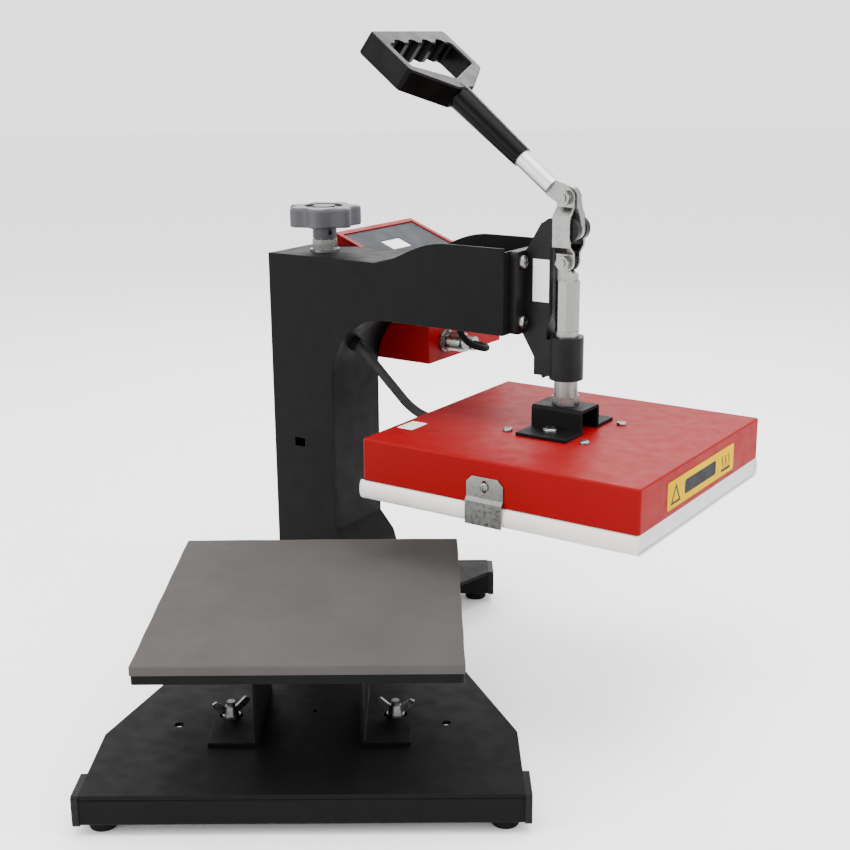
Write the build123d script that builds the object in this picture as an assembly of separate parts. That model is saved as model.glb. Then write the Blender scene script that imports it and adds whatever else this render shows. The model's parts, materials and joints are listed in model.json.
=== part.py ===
from build123d import *
import os
from math import sin, cos, tan, radians, hypot, pi

# Swing-away heat press: steel base, swinging arm with pressure toggle, heated platen, control box.
# Millimetres. Row frame: +Z up, the operator stands on the -Y side, the origin is on the floor under
# the middle of the whole press. Everything is drawn about the swing axis and moved there when it is
# written. The arm group is drawn closed (arm pointing to -Y) and turned to rest.

os.makedirs("parts", exist_ok=True)

# ---------------------------------------------------------------- driving dimensions
SWING = 56.0            # arm swung out to +X at rest, degrees
MIDDLE_X, MIDDLE_Y = 126.095, -139.932      # middle of the press at rest, from the swing axis
REACH = 300.0           # swing axis to platen centre
PLATEN_W, PLATEN_D = 280.0, 300.0

FRONT_Y, REAR_Y = -452.0, 96.0      # front and rear faces of the base
BASE_Z = 40.0                       # top of the base plate
BASE_T = 4.0
FRONT_HALF, REAR_HALF = 192.0, 183.0
TUBE_D, TUBE_H, TUBE_WALL = 40.0, 25.0, 1.8
TUBE_Z = BASE_Z - BASE_T - TUBE_H   # underside of both cross tubes
FOOT_R = 12.5
CAP_T = 6.0                         # plastic end caps, thickness of the head

POST_R, POST_WALL, POST_TOP = 20.0, 5.0, 400.0
FLANGE_T = 10.0
SLEEVE_R, SLEEVE_TOP = 25.0, 372.0
RUN = 0.06                          # radial running clearance of the big bearings

PLATE_T, PAD_T = 8.0, 9.0
PAD_Z = 160.0                       # top of the silicone pad
STUD_X, STUD_Y = 78.0, -313.0

ARM_U = 43.0                        # half width over the side plates
SHEET = 3.0
ARM_REAR, ARM_COL = -45.0, 38.0     # column, rear and front faces, forward distance from the axis
ARM_FRONT, ARM_LOW, ARM_BOT = 252.0, 380.0, 58.0
ARM_TOP, ARM_HUMP = 440.0, 466.0
BEND_R = 70.0

LEVER_S, LEVER_Z, LEVER_R = 305.0, 484.0, 31.0      # fixed toggle pivot and crank radius
CRANK_LEAN = 10.0                                   # crank leans back from upright at rest, degrees
LINK_L = 62.5
STROKE = 60.0
PIN_R = 4.0
ROD_R = 11.95
BARREL_R, BARREL_LO, BARREL_HI = 17.0, 335.0, 378.0
AXIS_DIP = 38.0                     # handle axis slope, degrees

HEAD_TOP, HEAD_LOW, SKIN = 284.0, 241.5, 1.5
HOT_HI, HOT_LO = 241.0, 223.0

BOX_U0, BOX_U1 = 43.2, 194.0        # control box, across
BOX_S0, BOX_S1 = -22.0, 107.0       # and along the arm
BOX_Z, BOX_FRONT_Z, BOX_REAR_Z = 317.0, 402.0, 452.0
PANEL_L = hypot(BOX_REAR_Z - BOX_FRONT_Z, BOX_S1 - BOX_S0)
PANEL_W = BOX_U1 - BOX_U0
BUTTONS = [(-30, -14), (0, -14), (30, -14)]
BUTTON_R = 5.0
LCD = (-12, 24, 40, 24)             # centre x, centre y, width, height on the sloped panel
SOCKET_U, SOCKET_Z = 74.0, 339.0    # round connector on the box's front wall
ROCKER = (133.0, 26.0, 350.0)       # pivot of the rocker, across, rearward, height

LEAD_U, LEAD_Z = -14.0, 345.0       # the heater lead leaves the arm's bend here
GLAND_U, GLAND_Z = 18.0, 262.0      # and enters the platen cover here
FLOOR_U, FLOOR_S = 18.0, 160.0      # the signal lead goes up through the arm's floor here
HEATER_LEAD_R, SIGNAL_LEAD_R = 5.0, 3.5
ARC_SHARE = 0.45                    # share of the shorter run that a lead's arc takes up

BASE_BOLT_X, BASE_BOLT_Y, BASE_BOLT_R = 126.0, -325.0, 4.5
PLATE_SCREW_X, PLATE_SCREW_Y = 72.0, (-340.0, -274.0)
CLIP_S, CLIP_Z = 292.0, 259.0       # screw that holds each sheet clip to the cover's side


# ---------------------------------------------------------------- helpers
def box(x0, x1, y0, y1, z0, z1):
    return Pos((x0 + x1) / 2, (y0 + y1) / 2, (z0 + z1) / 2) * Box(x1 - x0, y1 - y0, z1 - z0)


def abox(u0, u1, s0, s1, z0, z1):
    """Box in arm terms: u across, s forward of the swing axis (closed arm points to -Y)."""
    return box(u0, u1, -s1, -s0, z0, z1)


def zcyl(x, y, r, z0, z1):
    return Pos(x, y, (z0 + z1) / 2) * Cylinder(r, z1 - z0)


def xcyl(y, z, r, x0, x1):
    return Pos((x0 + x1) / 2, y, z) * Rot(0, 90, 0) * Cylinder(r, x1 - x0)


def ycyl(x, z, r, y0, y1):
    return Pos(x, (y0 + y1) / 2, z) * Rot(90, 0, 0) * Cylinder(r, y1 - y0)


def plan(points, z0, z1):
    face = Pos(0, 0, z0) * make_face(Polyline(*points, close=True))
    return extrude(face, amount=z1 - z0, dir=(0, 0, 1))


def profile(points, u0, u1):
    """Side profile given as (forward, height) points, extruded across from u0 to u1."""
    face = Plane.YZ.offset(u0) * make_face(Polyline(*[(-s, z) for s, z in points], close=True))
    return extrude(face, amount=u1 - u0, dir=(1, 0, 0))


def section(points, s0, s1):
    """Cross section given as (across, height) points, extruded forward from s0 to s1."""
    outline = make_face(Polyline(*points, close=True))
    face = Plane(origin=(0, -s0, 0), x_dir=(1, 0, 0), z_dir=(0, -1, 0)) * outline
    return extrude(face, amount=s1 - s0, dir=(0, -1, 0))


def zhex(x, y, across, z0, z1, turn=0.0):
    face = Pos(x, y, z0) * Rot(0, 0, turn) * RegularPolygon(across / 2, 6, major_radius=False)
    return extrude(face, amount=z1 - z0, dir=(0, 0, 1))


def hexagon(across):
    return RegularPolygon(across / 2, 6, major_radius=False)


def out(shape, node, swung=False, label=None):
    if swung:
        shape = Rot(0, 0, SWING) * shape
    shape = Pos(-MIDDLE_X, -MIDDLE_Y, 0) * shape
    solids = list(shape.solids())
    item = solids[0] if len(solids) == 1 else Compound(children=solids)
    item.label = node
    export_step(item, f"parts/{node}.step")
    return item


def slab_edges(shape, axis, r):
    return fillet(shape.edges().filter_by(axis), r)


# ---------------------------------------------------------------- base
def base_plate():
    f, r = FRONT_HALF, REAR_HALF
    pts = [(-f, FRONT_Y), (f, FRONT_Y), (f, -343), (96, -68), (96, -31), (r, 56), (r, REAR_Y),
           (-r, REAR_Y), (-r, 56), (-96, -31), (-96, -68), (-f, -343)]
    body = plan(pts, BASE_Z - BASE_T, BASE_Z)
    for x in (-BASE_BOLT_X, BASE_BOLT_X):
        body -= zcyl(x, BASE_BOLT_Y, BASE_BOLT_R, 0, 60)
    for x in (-STUD_X, STUD_X):
        body -= zcyl(x, STUD_Y, PIN_R, 0, 60)
    body -= zcyl(0, -299, 2.5, 0, 60)
    for x, y in flange_holes():
        body -= zcyl(x, y, 4.2, 0, 60)
    return body


def flange_holes():
    return [(sx * 45, sy * 45) for sx in (-1, 1) for sy in (-1, 1)]


def feet_at():
    return [(-176, FRONT_Y + 20), (176, FRONT_Y + 20), (-168, REAR_Y - 20), (168, REAR_Y - 20)]


def cross_tube(half, y0, holes):
    z0, z1, w = TUBE_Z, TUBE_Z + TUBE_H, TUBE_WALL
    body = slab_edges(box(-half, half, y0, y0 + TUBE_D, z0, z1), Axis.X, 2.5)
    body -= box(-half - 1, half + 1, y0 + w, y0 + TUBE_D - w, z0 + w, z1 - w)
    for x, y in holes:
        body -= zcyl(x, y, 2.6, z0 - 1, z0 + 5)
    return body


def tube_end_caps():
    caps = []
    for half, y0 in ((FRONT_HALF, FRONT_Y), (REAR_HALF, REAR_Y - TUBE_D)):
        for side in (-1, 1):
            head = box(0, CAP_T, y0 - 1, y0 + TUBE_D + 1, TUBE_Z - 1, BASE_Z - 0.5)
            head = slab_edges(head, Axis.X, 3)
            w = TUBE_WALL + 0.1
            plug = box(-12, 0, y0 + w, y0 + TUBE_D - w, TUBE_Z + w, TUBE_Z + TUBE_H - w)
            plug -= box(-13, -2, y0 + w + 2, y0 + TUBE_D - w - 2, TUBE_Z + w + 2, TUBE_Z + TUBE_H - w - 2)
            cap = head + plug
            cap = mirror(cap, about=Plane.YZ) if side < 0 else cap
            caps.append(Pos(side * half, 0, 0) * cap)
    return Compound(children=caps)


def rubber_feet():
    feet = []
    for x, y in feet_at():
        foot = zcyl(x, y, FOOT_R, 0, TUBE_Z)
        foot = fillet(foot.edges().filter_by(GeomType.CIRCLE).sort_by(Axis.Z)[0], 2)
        foot -= zcyl(x, y, 5.5, -1, 5) + zcyl(x, y, 2.6, 0, 20)
        feet.append(foot)
    return Compound(children=feet)


def swing_post():
    """Welded foot flange, post tube and the threaded plug in its top."""
    body = slab_edges(box(-60, 60, -60, 60, BASE_Z, BASE_Z + FLANGE_T), Axis.Z, 8)
    for x, y in flange_holes():
        body -= zcyl(x, y, 4.2, 30, 60)
    z0 = BASE_Z + FLANGE_T
    body += zcyl(0, 0, POST_R, z0, POST_TOP) - zcyl(0, 0, POST_R - POST_WALL, z0 - 1, POST_TOP + 1)
    body += zcyl(0, 0, POST_R - POST_WALL, POST_TOP - 24, POST_TOP)
    return body - zcyl(0, 0, 8.08, 300, 500)


def base_fasteners():
    """Foot screws in the cross tubes, and bolts with nuts through the post's flange."""
    z = BASE_Z + FLANGE_T
    low = BASE_Z - BASE_T
    screws = [zcyl(x, y, 4.8, 1.8, 5) + zcyl(x, y, 2.5, 4, 17) for x, y in feet_at()]
    return Compound(children=screws + [zhex(x, y, 13, z, z + 5.3) + zcyl(x, y, 4, 27, z + 1)
                              + zhex(x, y, 13, low - 6.5, low) for x, y in flange_holes()])


def platen_studs():
    """Welded studs, each with the washer its wing nut bears on."""
    return Compound(children=[zcyl(x, STUD_Y, PIN_R, BASE_Z - BASE_T, 58) + zcyl(x, STUD_Y, 8.5, 43, 44.6)
                              for x in (-STUD_X, STUD_X)])


def wing_nut(x, turn):
    z = 44.6
    body = Pos(0, 0, 4.5) * Cone(7.2, 5.4, 9)
    wing = Plane.XZ * make_face(Polyline((4, 1.5), (9, 2.5), (18, 10), (18, 14), (14, 15.5), (4.2, 7.5),
                                         close=True))
    wing = extrude(wing, amount=1.5, both=True)
    wing = fillet(wing.edges().filter_by(Axis.Y).sort_by(Axis.Z)[-3:], 1.4)
    nut = body + wing + mirror(wing, about=Plane.YZ)
    nut -= zcyl(0, 0, PIN_R + 0.05, -1, 30)
    return Pos(x, STUD_Y, z) * Rot(0, 0, turn) * nut


# ---------------------------------------------------------------- lower platen
def platen_brackets():
    """Two mirrored channel brackets with a cross slot in each foot."""
    zt = PAD_Z - PAD_T - PLATE_T
    y0, y1 = -367, -247
    body = box(50, 93, y0, y1, BASE_Z, BASE_Z + 3) + box(47, 50, y0, y1, BASE_Z, zt)
    body += box(50, 90, y0, y1, zt - 3, zt)
    inner = body.edges().filter_by(Axis.Y).filter_by_position(Axis.X, 49.9, 50.1)
    inner = inner.filter_by_position(Axis.Z, BASE_Z + 2.9, zt - 2.9)
    body = fillet(inner, 1.5)
    slot = box(STUD_X - 7, STUD_X + 7, STUD_Y - 4.2, STUD_Y + 4.2, 30, 50)
    slot += zcyl(STUD_X - 7, STUD_Y, 4.2, 30, 50) + zcyl(STUD_X + 7, STUD_Y, 4.2, 30, 50)
    body -= slot
    for y in PLATE_SCREW_Y:
        body -= zcyl(PLATE_SCREW_X, y, 3.2, zt - 5, zt + 5)
    return Compound(children=[body, mirror(body, about=Plane.YZ)])


def platen_screws():
    zt = PAD_Z - PAD_T - PLATE_T
    parts = []
    for x in (-PLATE_SCREW_X, PLATE_SCREW_X):
        for y in PLATE_SCREW_Y:
            parts.append(zhex(x, y, 10, zt - 7, zt - 3) + zcyl(x, y, 3, zt - 4, zt + 6))
    return Compound(children=parts)


def lower_plate():
    zt = PAD_Z - PAD_T
    w, d = PLATEN_W / 2, PLATEN_D / 2
    body = slab_edges(box(-w, w, -REACH - d, -REACH + d, zt - PLATE_T, zt), Axis.Z, 3)
    for x in (-PLATE_SCREW_X, PLATE_SCREW_X):
        for y in PLATE_SCREW_Y:
            body -= zcyl(x, y, 3, zt - PLATE_T - 1, zt - PLATE_T + 6)
    return body


def silicone_pad():
    w, d = PLATEN_W / 2 + 0.8, PLATEN_D / 2 + 0.8
    body = slab_edges(box(-w, w, -REACH - d, -REACH + d, PAD_Z - PAD_T, PAD_Z), Axis.Z, 3)
    return fillet(body.faces().sort_by(Axis.Z)[-1].edges(), 0.8)


# ---------------------------------------------------------------- lift sleeve
def lift_sleeve():
    z0 = BASE_Z + FLANGE_T
    body = zcyl(0, 0, SLEEVE_R, z0, SLEEVE_TOP) + zcyl(0, 0, 33, z0, z0 + 10)
    return body - zcyl(0, 0, POST_R + RUN, z0 - 1, SLEEVE_TOP + 1)


# ---------------------------------------------------------------- swing arm (closed position)
def arm_side(u0, u1, windows=False):
    outline = Polyline((-ARM_REAR, ARM_TOP), (-ARM_REAR, ARM_BOT), (-60, ARM_BOT), (-60, 104),
                       (-56, 116), (-ARM_COL, 136), (-ARM_COL, ARM_LOW), (-ARM_FRONT, ARM_LOW),
                       (-ARM_FRONT, ARM_HUMP), (-186, ARM_HUMP))
    hump = Spline((-186, ARM_HUMP), (-142, 456), (-96, ARM_TOP), tangents=[(1, 0), (1, -0.12)])
    close = Line((-96, ARM_TOP), (-ARM_REAR, ARM_TOP))
    face = Plane.YZ.offset(u0) * make_face(outline + hump + close)
    body = extrude(face, amount=u1 - u0, dir=(1, 0, 0))
    c, z = ARM_COL + BEND_R, ARM_LOW - BEND_R
    corner = abox(u0, u1, ARM_COL - 1, c, z, ARM_LOW + 1) - xcyl(-c, z, BEND_R, u0 - 1, u1 + 1)
    body += corner
    if windows:
        body -= abox(u0 - 1, u1 + 1, -16, -2, 226, 236)
    return body


def arm_spine():
    """Folded strip: the column's back and the flat rear part of the arm's top."""
    body = abox(-40, 40, ARM_REAR, ARM_REAR + SHEET, ARM_BOT, ARM_TOP)
    body += abox(-40, 40, ARM_REAR, 96, ARM_TOP - SHEET, ARM_TOP)
    body = fillet(body.edges().filter_by(Axis.X).sort_by(lambda e: e.center().Z + e.center().Y)[-1], 2.5)
    return body - zcyl(0, 0, 8.5, 400, 460)


def arm_web():
    """Folded strip: foot flare, column front, bend, arm floor and the bolting face at its end."""
    c, z, t = ARM_COL + BEND_R, ARM_LOW - BEND_R, SHEET
    low = [(60, ARM_BOT), (60, 104), (56, 116), (ARM_COL, 136), (ARM_COL, z), (ARM_COL - t, z),
           (ARM_COL - t, 135), (53.6, 114.4), (57, 103.4), (57, ARM_BOT)]
    body = profile(low, -40, 40)
    ring = xcyl(-c, z, BEND_R + t, -40, 40) - xcyl(-c, z, BEND_R, -41, 41)
    ring &= abox(-40, 40, ARM_COL - t - 1, c, z, ARM_LOW + t + 1)
    body += ring
    body += abox(-40, 40, c, ARM_FRONT, ARM_LOW, ARM_LOW + t)
    body += abox(-40, 40, ARM_FRONT - t, ARM_FRONT, ARM_LOW, ARM_HUMP - 4)
    for u, h in bracket_holes():
        body -= ycyl(u, h, 4.2, -270, -240)
    # cable holes: one low on the bend, one in the floor of the arm
    body -= bend_frame() * Cylinder(8, 30)
    body -= zcyl(FLOOR_U, -FLOOR_S, 8, 370, 390)
    return body


def bracket_holes():
    return [(u, z) for u in (-20, 20) for z in (391, 451)]


def arm_bearings():
    """Lower and upper bearing blocks welded inside the column."""
    blocks = []
    for z0, z1, front in ((60, 80, 56.9), (340, 362, 34.9)):
        block = abox(-40, 40, ARM_REAR + SHEET, front, z0, z1)
        blocks.append(block - zcyl(0, 0, SLEEVE_R + RUN, z0 - 1, z1 + 1))
    return Compound(children=blocks)


def screw_nut():
    """Hex nut on its washer, the seat of the pressure screw on the arm's top."""
    body = zcyl(0, 0, 16, ARM_TOP, ARM_TOP + 2.5) + zhex(0, 0, 24, ARM_TOP + 2.5, ARM_TOP + 13, 20)
    return body - zcyl(0, 0, 8.1, 430, 470)


def toggle_bracket():
    s0 = ARM_FRONT
    flange = abox(-31.5, 31.5, s0, s0 + 8, 379.5, 462)
    flange = fillet(flange.edges().filter_by(Axis.Y), 6)
    web = profile([(s0 + 4, 379.5), (s0 + 4, 458), (262, 465), (276, 489), (284, 493), (284, 476),
                   (287, 466), (287, 400), (284, 385), (284, 338), (280, 335), (270, 356)], -12.5, 12.5)
    ear = profile([(278, 490), (284, 494), (305, 496), (305, 472), (292, 470), (284, 464)], -12.5, 12.5)
    ear += xcyl(-LEVER_S, LEVER_Z, 12, -12.5, 12.5)
    barrel = zcyl(0, -REACH, BARREL_R, BARREL_LO, BARREL_HI)
    neck = abox(-12.5, 12.5, 270, 298, BARREL_LO + 3, BARREL_HI - 3)
    body = flange + web + ear + barrel + neck
    # slot between the two ears for the lever, hole for its pin, and the guide bore
    slot = xcyl(-LEVER_S, LEVER_Z, 15, -4.6, 4.6) + abox(-4.6, 4.6, 291, 330, 455, 510)
    slot += abox(-4.6, 4.6, 276, 330, LEVER_Z, 510)
    body -= slot
    body -= xcyl(-LEVER_S, LEVER_Z, PIN_R, -20, 20)
    body -= zcyl(0, -REACH, ROD_R + 0.07, BARREL_LO - 1, BARREL_HI + 40)
    body -= zcyl(0, -REACH, 14.5, BARREL_HI, 466)
    for u, z in bracket_holes():
        body -= ycyl(u, z, 4.2, -270, -240)
    return body


def bracket_fasteners():
    """The lever's pin, and the bracket's cross-recessed domed bolts with nuts inside the arm."""
    parts = [xcyl(-LEVER_S, LEVER_Z, PIN_R, -12.5, 12.5)]
    for u, z in bracket_holes():
        face = -(ARM_FRONT + 8)
        head = ycyl(u, z, 6.8, face - 4.4, face)
        head = fillet(head.edges().filter_by(GeomType.CIRCLE).sort_by(Axis.Y)[0], 2.8)
        head -= box(u - 3.6, u + 3.6, face - 5, face - 2.6, z - 0.9, z + 0.9)
        head -= box(u - 0.9, u + 0.9, face - 5, face - 2.6, z - 3.6, z + 3.6)
        nut = Plane(origin=(u, -(ARM_FRONT - SHEET), z), z_dir=(0, 1, 0)) * hexagon(13)
        bolt = head + ycyl(u, z, 4, face - 1, -241)
        parts.append(bolt + extrude(nut, amount=6.5, dir=(0, 1, 0)))
    return Compound(children=parts)


def bracket_sticker():
    return abox(-12.8, -12.5, 268, 286, 412, 454)


# ---------------------------------------------------------------- lever handle and links
def crank():
    a = radians(CRANK_LEAN)
    return LEVER_S - LEVER_R * sin(a), LEVER_Z + LEVER_R * cos(a)


def handle_frame():
    """Plane on the handle axis: local z runs out along the handle, local x across."""
    a = radians(AXIS_DIP)
    return Plane(origin=(0, -247.0, 549.7), x_dir=(1, 0, 0), z_dir=(0, cos(a), sin(a)))


def lever_tang():
    sa, za = crank()
    body = xcyl(-LEVER_S, LEVER_Z, 11, -4, 4) + xcyl(-sa, za, 11, -4, 4)
    body += profile([(LEVER_S + 10.9, LEVER_Z + 2), (sa + 10.8, za + 2), (sa, za + 11), (sa - 10.9, za - 1),
                     (LEVER_S - 10.8, LEVER_Z - 2)], -4, 4)
    a = radians(AXIS_DIP)
    tip = (247 + 43 * cos(a), 549.7 - 43 * sin(a))
    n = (9 * sin(a), 9 * cos(a))
    body += profile([(tip[0] + n[0], tip[1] + n[1]), (tip[0] - n[0], tip[1] - n[1]), (sa - 4, za - 10),
                     (sa + 4, za), (sa + 2, za + 10.8)], -4, 4)
    body -= xcyl(-LEVER_S, LEVER_Z, PIN_R + 0.05, -20, 20)
    body -= xcyl(-sa, za, PIN_R + 0.05, -20, 20)
    return body


def handle_tube():
    tube = Pos(0, 0, 13.5) * Cylinder(9, 113)
    tube -= Pos(0, 0, 20) * Cylinder(7.2, 120)
    return handle_frame() * tube


def handle_grip():
    """Moulded grip: tapered sleeve and a five-sided finger ring in one piece."""
    neck = 90.0
    sleeve = Pos(0, 0, neck / 2 + 4) * Cone(10.6, 13.2, neck + 8)
    sleeve = sleeve & (Pos(0, 0, 60) * Box(60, 25.6, 120))
    ring_pts = [(-13, neck), (13, neck), (65, neck + 30), (65, neck + 90), (-65, neck + 90), (-65, neck + 30)]
    hole_pts = [(0, neck + 16), (54, neck + 37), (54, neck + 69), (-54, neck + 69), (-54, neck + 37)]
    flat = Plane(origin=(0, 0, 0), x_dir=(1, 0, 0), z_dir=(0, -1, 0))
    ring = extrude(flat * make_face(Polyline(*ring_pts, close=True)), amount=12.5, both=True)
    ring = fillet(ring.edges().filter_by(Axis.Y), 6)
    hole = extrude(flat * make_face(Polyline(*hole_pts, close=True)), amount=20, both=True)
    hole = fillet(hole.edges().filter_by(Axis.Y), 4)
    for x in (-36, -12, 12, 36):
        hole += Pos(x, 0, neck + 66) * Rot(90, 0, 0) * Cylinder(9.5, 40)
    ring -= hole
    ring = fillet(ring.faces().filter_by(Axis.Y).edges().filter_by(GeomType.LINE), 2.2)
    body = sleeve + ring
    body -= Pos(0, 0, 34) * Cylinder(9, 72)
    return handle_frame() * body


def link_plates():
    """Two bowed links: narrow at both pins, spread around the bracket ears in between."""
    sa, za = crank()
    zb = za - LINK_L
    t = 3.0
    n, w = 4.5, 13.0
    path = [(n, za + 12), (n, za - 10), (w, za - 18), (w, zb + 16), (n, zb + 9), (n, zb - 12),
            (n + t, zb - 12), (n + t, zb + 8.2), (w + t, zb + 15.2), (w + t, za - 17.2), (n + t, za - 9.2),
            (n + t, za + 12)]
    sheet = section([(u, z) for u, z in path], REACH - 20, REACH + 20)
    outline = xcyl(-sa, za, 9.5, 0, 40) + xcyl(-REACH, zb, 9.5, 0, 40)
    outline += profile([(sa - 9.5, za), (sa + 9.5, za), (REACH + 9.5, zb), (REACH - 9.5, zb)], 0, 40)
    body = sheet & outline
    body -= xcyl(-sa, za, PIN_R, -5, 45) + xcyl(-REACH, zb, PIN_R, -5, 45)
    return Compound(children=[body, mirror(body, about=Plane.YZ)])


def link_bolts():
    sa, za = crank()
    parts = []
    for s, z in ((sa, za), (REACH, za - LINK_L)):
        head = Plane(origin=(7.5, -s, z), x_dir=(0, 1, 0), z_dir=(1, 0, 0)) * hexagon(13)
        nut = Plane(origin=(-7.5, -s, z), x_dir=(0, 1, 0), z_dir=(-1, 0, 0)) * Rot(0, 0, 12) * hexagon(13)
        bolt = extrude(head, amount=5.0, dir=(1, 0, 0)) + xcyl(-s, z, PIN_R, -15.5, 8)
        parts.append(bolt + extrude(nut, amount=6.5, dir=(-1, 0, 0)))
    return Compound(children=parts)


# ---------------------------------------------------------------- heat head
def plunger():
    zb = crank()[1] - LINK_L
    body = zcyl(0, -REACH, ROD_R, 318, 384)
    octo = Pos(0, -REACH, 384) * Rot(0, 0, 22.5) * RegularPolygon(11, 8, major_radius=False)
    body += extrude(octo, amount=50, dir=(0, 0, 1))
    body += zcyl(0, -REACH, 8, 296, 320)
    tang = abox(-4, 4, 290.5, 309.5, 430, zb + 9) - profile(
        [(298, zb - 4.1), (311, zb - 13), (314, zb - 13), (314, zb + 13), (311, zb + 13), (298, zb + 4.1)],
        -6, 6)
    tang -= xcyl(-REACH, zb, PIN_R + 0.1, -6, 6)
    return body + tang


def hat_bolt_at():
    return [(-31, -REACH), (31, -REACH)]


def hat_bracket():
    t, z = 3.5, HEAD_TOP
    pts = [(-51, z), (-16, z), (-16, z + 21.5), (16, z + 21.5), (16, z), (51, z), (51, z + t),
           (19.5, z + t), (19.5, z + 25), (-19.5, z + 25), (-19.5, z + t), (-51, z + t)]
    body = section(pts, 272, 328)
    edges = body.edges().filter_by(Axis.Y)
    sharp = edges.filter_by_position(Axis.Z, z + 24.9, z + 25.1)
    body = fillet(sharp, 4)
    body -= zcyl(0, -REACH, 8.1, 280, 330)
    for x, y in hat_bolt_at():
        body -= zcyl(x, y, 4.2, 270, 300)
    return body


def hat_fasteners():
    """Two lock nuts on the plunger and the two large pan heads of the hat bracket."""
    z = HEAD_TOP + 3.5
    parts = []
    for low, high in ((309, 318), (297.5, 305.5)):
        parts.append(zhex(0, -REACH, 24, low, high, 8) - zcyl(0, -REACH, 8, 280, 330))
    for x, y in hat_bolt_at():
        head = zcyl(x, y, 7.2, z, z + 4.2)
        head = fillet(head.edges().filter_by(GeomType.CIRCLE).sort_by(Axis.Z)[-1], 2.4)
        head -= box(x - 5, x + 5, y - 0.8, y + 0.8, z + 2.6, z + 5)
        head -= box(x - 0.8, x + 0.8, y - 5, y + 5, z + 2.6, z + 5)
        parts.append(head + zcyl(x, y, 4, 262, z + 1))
    return Compound(children=parts)


def cover_screw_at():
    return [(sx * 40, -REACH + sy * 43) for sx in (-1, 1) for sy in (-1, 1)]


def platen_cover():
    w, d = PLATEN_W / 2, PLATEN_D / 2
    body = slab_edges(box(-w, w, -REACH - d, -REACH + d, HEAD_LOW, HEAD_TOP), Axis.Z, 3)
    body = fillet(body.faces().sort_by(Axis.Z)[-1].edges(), 2)
    body -= slab_edges(box(-w + SKIN, w - SKIN, -REACH - d + SKIN, -REACH + d - SKIN, HEAD_LOW - 1,
                           HEAD_TOP - SKIN), Axis.Z, 1.5)
    for x, y in hat_bolt_at():
        body -= zcyl(x, y, 4.2, 270, 300)
    for x, y in cover_screw_at():
        body -= zcyl(x, y, 2.7, 270, 300)
    body -= ycyl(GLAND_U, GLAND_Z, 8, -160, -140)
    body -= xcyl(-CLIP_S, CLIP_Z, 2.2, -150, 150)
    return body


def cover_screws():
    """Pan heads: four in the cover's top, and one on each side through a sheet clip."""
    parts = []
    for x, y in cover_screw_at():
        head = zcyl(x, y, 4.9, HEAD_TOP, HEAD_TOP + 3.2)
        head = fillet(head.edges().filter_by(GeomType.CIRCLE).sort_by(Axis.Z)[-1], 2)
        head -= box(x - 3, x + 3, y - 0.6, y + 0.6, HEAD_TOP + 1.8, 300)
        head -= box(x - 0.6, x + 0.6, y - 3, y + 3, HEAD_TOP + 1.8, 300)
        parts.append(head + zcyl(x, y, 2.5, 270, HEAD_TOP + 1))
    for side in (-1, 1):
        head = xcyl(-CLIP_S, CLIP_Z, 4.4, 1.5, 4.2)
        head = fillet(head.edges().filter_by(GeomType.CIRCLE).sort_by(Axis.X)[-1], 1.6)
        head -= abox(3.2, 6, 289, 295, 258.5, 259.5) + abox(3.2, 6, 291.5, 292.5, 256, 262)
        screw = Pos(PLATEN_W / 2, 0, 0) * (head + xcyl(-CLIP_S, CLIP_Z, 1.95, -8, 2))
        parts.append(mirror(screw, about=Plane.YZ) if side < 0 else screw)
    return Compound(children=parts)


def standoffs():
    top = HEAD_TOP - SKIN
    parts = [zcyl(x, y, 9, HOT_HI, top) - zcyl(x, y, 4, 260, top + 1) for x, y in hat_bolt_at()]
    parts += [zcyl(x, y, 6, HOT_HI, top) - zcyl(x, y, 2.5, 268, top + 1) for x, y in cover_screw_at()]
    return Compound(children=parts)


def heating_plate():
    w, d = PLATEN_W / 2 - 2, PLATEN_D / 2 - 1
    body = slab_edges(box(-w, w, -REACH - d, -REACH + d, HOT_LO, HOT_HI), Axis.Z, 3)
    low = body.faces().sort_by(Axis.Z)[0].edges()
    return fillet(low, 2.5)


def heating_element():
    """Tubular element in the plate's back: three hairpins side by side."""
    z = HOT_HI + 3.5
    parts = []
    for x in (-102, -68, 68, 102):
        parts.append(ycyl(x, z, 3.4, -REACH - 110, -REACH + 110))
    body = parts[0]
    for p in parts[1:]:
        body += p
    for y in (-REACH - 110, -REACH + 110):
        for x0, x1 in ((-102, -68), (68, 102)):
            body += xcyl(y, z, 3.4, x0 - 3, x1 + 3)
    body += xcyl(-REACH - 110, z, 3.4, -68, 68)
    return body


def insulation():
    body = box(-128, 128, -REACH - 138, -REACH + 126, 249, 276)
    for x, y in hat_bolt_at():
        body -= zcyl(x, y, 10, 240, 290)
    for x, y in cover_screw_at():
        body -= zcyl(x, y, 7, 240, 290)
    return body


def ptfe_sheet():
    w, d, t = PLATEN_W / 2 - 2, PLATEN_D / 2 - 1.5, 1.2
    outer = box(-w - t, w + t, -REACH - d, -REACH + d, HOT_LO - t, HOT_HI)
    outer = fillet(outer.edges().filter_by(Axis.Y).sort_by(Axis.Z)[:2], 3.7)
    inner = box(-w, w, -REACH - d - 1, -REACH + d + 1, HOT_LO, HOT_HI + 1)
    inner = fillet(inner.edges().filter_by(Axis.Y).sort_by(Axis.Z)[:2], 2.5)
    return outer - inner


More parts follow.
